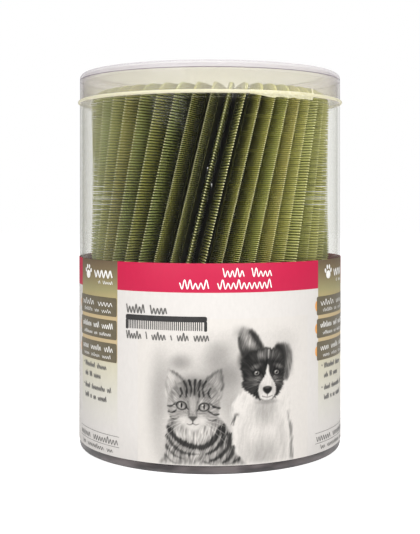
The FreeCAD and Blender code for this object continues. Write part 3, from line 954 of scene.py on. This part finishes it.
def make_pictures():
    """Three prints of the same picture, one on each third of the sleeve."""
    left, right, bottom, top = -34.0, 49.0, SLEEVE_LOW.z + 0.15, 69.0
    pitch = 0.3
    columns = int((right - left) / pitch) + 1
    rows = int((top - bottom) / pitch) + 1
    across, up = np.meshgrid(np.linspace(left, right, columns), np.linspace(bottom, top, rows))
    picture = Picture(across, up)
    paint_backdrop(picture)
    paint_dog(picture)
    paint_cat(picture)
    fade = smoothstep(0.0, 12.0, across - left) * smoothstep(0.0, 9.0, right - across)
    fade *= smoothstep(0.0, 7.0, top - up) * smoothstep(-1.0, 2.0, up - bottom)
    speckle = 1 + 0.025 * picture.grain(across / 0.35, up / 0.35)
    tone = 1 + (np.clip(picture.tone * speckle, 0.02, 1.0) - 1) * fade

    radius = SLEEVE_RADIUS + INK * 0.4
    turn = across / SLEEVE_RADIUS
    points = np.stack([radius * np.sin(turn), -radius * np.cos(turn), up], -1).reshape(-1, 3)
    index = np.arange(rows * columns).reshape(rows, columns)
    faces = np.stack([index[:-1, :-1], index[:-1, 1:], index[1:, 1:], index[1:, :-1]], -1).reshape(-1, 4)
    mesh = make_mesh("pet_picture", points.tolist(), faces.tolist(), picture_print())
    colours = mesh.color_attributes.new("tone", "FLOAT_COLOR", "POINT")
    grey = np.clip(tone, 0, 1).reshape(-1, 1) ** 2.2
    warm = np.concatenate([grey, grey * 0.992, grey * 0.975, np.ones_like(grey)], 1)
    colours.data.foreach_set("color", warm.astype(np.float32).ravel())
    print_round("pet_picture", mesh)


# --- printed marks

# Heights that a wave of stand-in wording may reach, as shares of the line's height
LETTER_TOPS = (0.62, 0.66, 0.70, 1.0)


class Marks:
    """Flat printed shapes on the sleeve, collected into one mesh per ink."""

    def __init__(self):
        self.points, self.faces = [], []
        self.random = np.random.default_rng(SEED)

    def patch(self, outline, lift=INK):
        """One filled shape; its outline is in degrees along the wall and millimetres up it."""
        first = len(self.points)
        self.points += [on_wall(azimuth, height, SLEEVE_RADIUS + lift) for azimuth, height in outline]
        self.faces.append(tuple(range(first, first + len(outline))))

    def bar(self, left, right, low, high, rounding=0.3, lift=INK):
        """Round-cornered bar, cut into short lengths so that it follows the wall."""
        curve = min(rounding, (high - low) / 2, (right - left) * PER_DEGREE / 2)
        shy = curve / PER_DEGREE
        pieces = max(1, int((right - left) / 3))
        stops = np.linspace(left + shy, right - shy, pieces + 1)
        for a, b in zip(stops[:-1], stops[1:]):
            self.patch([(a, low), (b, low), (b, high), (a, high)], lift)
        for edge, way in ((left + shy, -1), (right - shy, 1)):
            corners = [(edge, low)]
            for centre, start in ((low + curve, -90), (high - curve, 0)):
                turns = [math.radians(t) for t in range(start, start + 91, 30)]
                corners += [(edge + way * shy * math.cos(t), centre + curve * math.sin(t)) for t in turns]
            corners.append((edge, high))
            self.patch(corners if way > 0 else corners[::-1], lift)

    def disc(self, azimuth, height, radius, squeeze=1.0, lean=0.0, lift=INK, start=0, end=360):
        """Oval spot, or part of one."""
        tilt = math.radians(lean)
        outline = []
        for step in range(start, end + (0 if end - start == 360 else 1), 15):
            across = radius * squeeze * math.cos(math.radians(step))
            up = radius * math.sin(math.radians(step))
            outline.append((azimuth + (across * math.cos(tilt) - up * math.sin(tilt)) / PER_DEGREE,
                            height + across * math.sin(tilt) + up * math.cos(tilt)))
        self.patch(outline, lift)

    def scribble(self, left, right, low, high, words, weight=0.17, lift=INK):
        """Line of stand-in wording: one wavy stroke per word, a wave for each letter's place."""
        size = high - low
        pitch = (right - left) * PER_DEGREE / (sum(words) + len(words) - 1)
        start = left * PER_DEGREE
        for word in words:
            peaks = [0.0 if peak % 2 else self.random.choice(LETTER_TOPS) for peak in range(2 * word)]
            places = np.arange(0, 2 * word - 1, 0.125)
            base = places.astype(int)
            ease = smoothstep(0.0, 1.0, places - base)
            tall = np.array(peaks + [peaks[-1]])
            up = low + size * (tall[base] * (1 - ease) + tall[base + 1] * ease)
            along = start + pitch * (places / 2 + 0.2)
            self.stroke(along / PER_DEGREE, up, weight * size, lift)
            start += (word + 1) * pitch

    def stroke(self, azimuths, heights, width, lift):
        """Ribbon of one width along a line of places."""
        along = np.gradient(azimuths * PER_DEGREE)
        rise = np.gradient(heights)
        length = np.hypot(along, rise)
        across_u, across_z = -rise / length * width / 2, along / length * width / 2
        first = len(self.points)
        for sign in (-1, 1):
            for azimuth, height in zip(azimuths + sign * across_u / PER_DEGREE, heights + sign * across_z):
                self.points.append(on_wall(float(azimuth), float(height), SLEEVE_RADIUS + lift))
        count = len(azimuths)
        self.faces += [(first + step, first + step + 1, first + count + step + 1, first + count + step)
                       for step in range(count - 1)]

    def piece(self, name, material):
        print_round(name, make_mesh(name, self.points, self.faces, material))


def comb_mark(marks, left, right, low, high):
    """Flat drawing of a comb: a back with teeth below it."""
    back = low + (high - low) * 0.62
    marks.bar(left, right, back, high, 0.9)
    pitch = 0.95 / PER_DEGREE
    count = int((right - left - 2.4) / pitch)
    for side in (left, right - 1.2):
        marks.bar(side, side + 1.2, low, back + 0.4, 0.5)
    start = (left + right - count * pitch) / 2
    for number in range(count):
        place = start + number * pitch
        marks.bar(place, place + pitch * 0.48, low + 0.3, back + 0.4, 0.15)


def paw_mark(marks, azimuth, height, size):
    """Simple paw print."""
    marks.disc(azimuth, height - size * 0.16, size * 0.26, 1.2)
    for across, up, lean in ((-0.40, 0.10, 24), (-0.15, 0.32, 8), (0.15, 0.32, -8), (0.40, 0.10, -24)):
        marks.disc(azimuth + across * size / PER_DEGREE, height + up * size, size * 0.15, 0.72, lean)


def make_marks():
    """Marks in each ink: pictograms and stand-in lines where the packaging carries its wording."""
    white, black, grey, olive, orange = Marks(), Marks(), Marks(), Marks(), Marks()
    panel, end = PANEL_START, PANEL_END

    white.scribble(4.5, 25.6, 87.5, 91.3, [5, 5], 0.13)
    white.scribble(-12.4, 25.6, 82.2, 86.2, [6, 11], 0.13)
    paw_mark(white, panel + 8.4, 87.6, 7.4)
    white.scribble(panel + 13.6, end - 2.0, 85.6, 90.0, [5], 0.2)
    white.scribble(panel + 17.0, end - 2.4, 82.6, 84.0, [2, 6], 0.2)

    grey.scribble(-35.6, -16.5, 70.8, 74.6, [6, 5])
    comb_mark(black, -35.6, -1.1, 63.4, 70.0)
    grey.scribble(-35.6, 0.0, 59.2, 62.6, [6, 1, 5, 1, 4, 5])

    for high, low, lengths, small in BOX_ROWS:
        olive.bar(panel - 0.9, end - 0.35, low, high, 0.8)
        orange.disc(panel - 0.9, (low + high) / 2, 2.3, 0.6, lift=INK * 0.6)
        white.scribble(panel + 1.4, end - 2.2, high - 4.2, high - 1.6, lengths, 0.15, lift=INK * 1.6)
        white.scribble(panel + 3.4, end - 3.4, low + 1.4, low + 3.0, small, 0.15, lift=INK * 1.6)

    for top, words in ((45.4, [10, 7]), (40.8, [4, 3, 6]), (35.2, [6, 11, 3]), (30.6, [5, 2, 3, 7])):
        grey.scribble(panel + 4.4, panel + 6.4 + 1.0 * sum(words), top - 2.4, top, words, 0.18)
    for height in (44.4, 34.2):
        grey.disc(panel + 2.9, height, 0.45)

    for height in (13.4, 8.6):
        grey.bar(panel - 2.0, end + 1.0, height, height + 0.2, 0.05)
    grey.scribble(panel - 1.6, end + 0.8, 9.6, 12.6, [7, 10], 0.15)
    grey.scribble(panel + 1.4, end - 2.4, 5.7, 7.7, [3, 10, 3], 0.18)

    white.piece("white_marks", ink("white_ink", srgb(226, 224, 220)))
    black.piece("comb_pictogram", ink("black_ink", srgb(26, 24, 24)))
    grey.piece("grey_marks", ink("grey_ink", srgb(88, 86, 83)))
    olive.piece("panel_boxes", ink("olive_ink", srgb(88, 79, 57)))
    orange.piece("panel_discs", ink("orange_ink", srgb(214, 150, 76)))


# --- tape and card


def tape_film():
    """Wrinkled clear tape, yellowed where it is doubled."""
    n = Nodes("tape_film")
    crease = n.noise(420.0, 4.0, 0.65, (1, 1, 2.2))
    colour = n.mix(n.span(crease, 0.35, 0.65), srgb(222, 216, 180), srgb(246, 242, 216))
    rough = n.span(crease, 0.3, 0.7, 0.22, 0.42)
    return n.finish(n.made("BsdfPrincipled", Base_Color=colour, Roughness=rough, Alpha=0.42,
                              Normal=n.bump(crease, 0.0002, 0.7)))


def make_tape():
    """Strip pressed over the lid's lip, crumpled along its lower edge and turned up at its far end."""
    start, sweep, thick = 15.5, 30.5, 0.25
    steps = 150
    random = np.random.default_rng(SEED)

    def wavy(width):
        window = np.hanning(width)
        return np.convolve(random.normal(0, 1, steps + 1), window / window.sum(), "same")

    buckles, ragged = wavy(13), wavy(17)
    points = []
    for step in range(steps + 1):
        share = step / steps
        fade = float(smoothstep(0.0, 0.12, share))
        drop = max(0.3, (0.5 + 0.9 * float(smoothstep(0.0, 0.35, share)) + 0.35 * ragged[step]) * fade)
        buckle = 0.25 * abs(buckles[step]) * fade
        raised = 2.2 * float(smoothstep(0.972, 0.98, share))
        line = [
            (LIP_RADIUS + 0.05 - 0.7 * min(raised, 1.0), LID_FOOT + 1.6 + raised),
            (LIP_RADIUS + 0.08 + buckle * 0.5, LID_FOOT + 1.0),
            (LIP_RADIUS + 0.05 + buckle * 0.5, LID_FOOT + 0.3),
            (JAR_RADIUS + 0.75 + buckle, LID_FOOT - 0.2),
            (JAR_RADIUS + 0.5 + buckle, LID_FOOT - 0.5 * drop - 0.1),
            (JAR_RADIUS + 0.45 + buckle * 1.6, LID_FOOT - drop),
        ]
        azimuth = start + sweep * share
        points += [on_wall(azimuth, height, radius + thick) for radius, height in line]
        points += [on_wall(azimuth, height, radius) for radius, height in line]
    mesh = make_mesh("lid_tape", points, band_faces(steps, len(line)), tape_film(), sharp=60.0)
    add_piece("lid_tape", mesh, "lid", ["seal_tape"])


def dress_card():
    """Grey-brown board on the disc between the layers."""
    n = Nodes("card_board")
    fibres = n.noise(260.0, 5.0, 0.65)
    colour = n.mix(n.span(fibres, 0.3, 0.7), srgb(150, 132, 106), srgb(176, 158, 130))
    board = n.made("BsdfPrincipled", Base_Color=colour, Roughness=0.85, Normal=n.bump(fibres, 0.0001, 0.4))
    card = n.finish(board)
    for slot in frame["nodes"]["layer_divider"].material_slots:
        slot.link = "OBJECT"
        slot.material = card


# --- stage

# Half the side of the floor, in millimetres, then the camera and what the lamps aim at, in metres
FLOOR_HALF = 3000.0
CAMERA_PLACE = (0.0, -0.520, 0.1226)
CAMERA_LENS = 69.57
CAMERA_SHIFT = -0.1303
LAMPS_AIM = Vector((0, 0, 0.09))


def make_floor():
    """Pale floor that the camera sees as white."""
    n = Nodes("stage_floor")
    pale = n.mix(n.noise(6.0, 2.0), (0.84, 0.84, 0.84, 1), (0.88, 0.88, 0.88, 1))
    seen = n.add("ShaderNodeLightPath").outputs["Is Camera Ray"]
    both = n.add("ShaderNodeAddShader")
    n.feed(both.inputs[0], n.made("BsdfDiffuse", Color=pale))
    n.feed(both.inputs[1], n.made("Emission", Strength=n.span(seen, 0, 1, 0.0, 0.72)))
    corners = [(x * FLOOR_HALF, y * FLOOR_HALF, 0) for x, y in ((-1, -1), (1, -1), (1, 1), (-1, 1))]
    floor = show("stage_floor", make_mesh("stage_floor", corners, [(0, 1, 2, 3)], n.finish(both.outputs[0])))


def make_world():
    """White surroundings, dimmer for the object than for the camera."""
    world = bpy.data.worlds.new("studio")
    bpy.context.scene.world = world
    world.use_nodes = True
    tree = world.node_tree
    strength = tree.nodes.new("ShaderNodeMapRange")
    tree.links.new(tree.nodes.new("ShaderNodeLightPath").outputs["Is Camera Ray"], strength.inputs["Value"])
    strength.inputs["To Min"].default_value = 0.34
    background = tree.nodes["Background"]
    background.inputs["Color"].default_value = (1, 1, 1, 1)
    tree.links.new(strength.outputs[0], background.inputs["Strength"])


def make_lamps():
    """Soft square lamps, all aimed at the middle of the jar: name, place, side and watts."""
    for name, place, side, watts in (
        ("key", (0.33, -0.95, 0.80), 0.6, 9.0),
        ("fill", (-0.60, -0.85, 0.60), 0.6, 6.0),
        ("side", (0.75, -0.75, 0.85), 0.6, 2.5),
        ("top", (0.0, 0.0, 1.2), 0.8, 6.0),
    ):
        lamp = bpy.data.lights.new(name, "AREA")
        lamp.size = side
        lamp.energy = watts
        aim = (LAMPS_AIM - Vector(place)).to_track_quat("-Z", "Y")
        show(name, lamp, Matrix.Translation(place) @ aim.to_matrix().to_4x4())


def make_camera():
    """Level camera in front, its view shifted down to the jar."""
    camera = bpy.data.cameras.new("camera")
    camera.lens = CAMERA_LENS
    camera.sensor_width = 36.0
    camera.shift_y = CAMERA_SHIFT
    camera.clip_start = 0.01
    level = Matrix.Rotation(math.radians(90), 4, "X")
    bpy.context.scene.camera = show("camera", camera, Matrix.Translation(CAMERA_PLACE) @ level)
    bpy.context.scene.view_settings.view_transform = "Standard"
    bpy.context.scene.cycles.transparent_max_bounces = 32


make_floor()
make_world()
make_lamps()
make_camera()
make_clear_parts()
make_combs()
make_sleeve()
make_pictures()
make_marks()
make_tape()
dress_card()
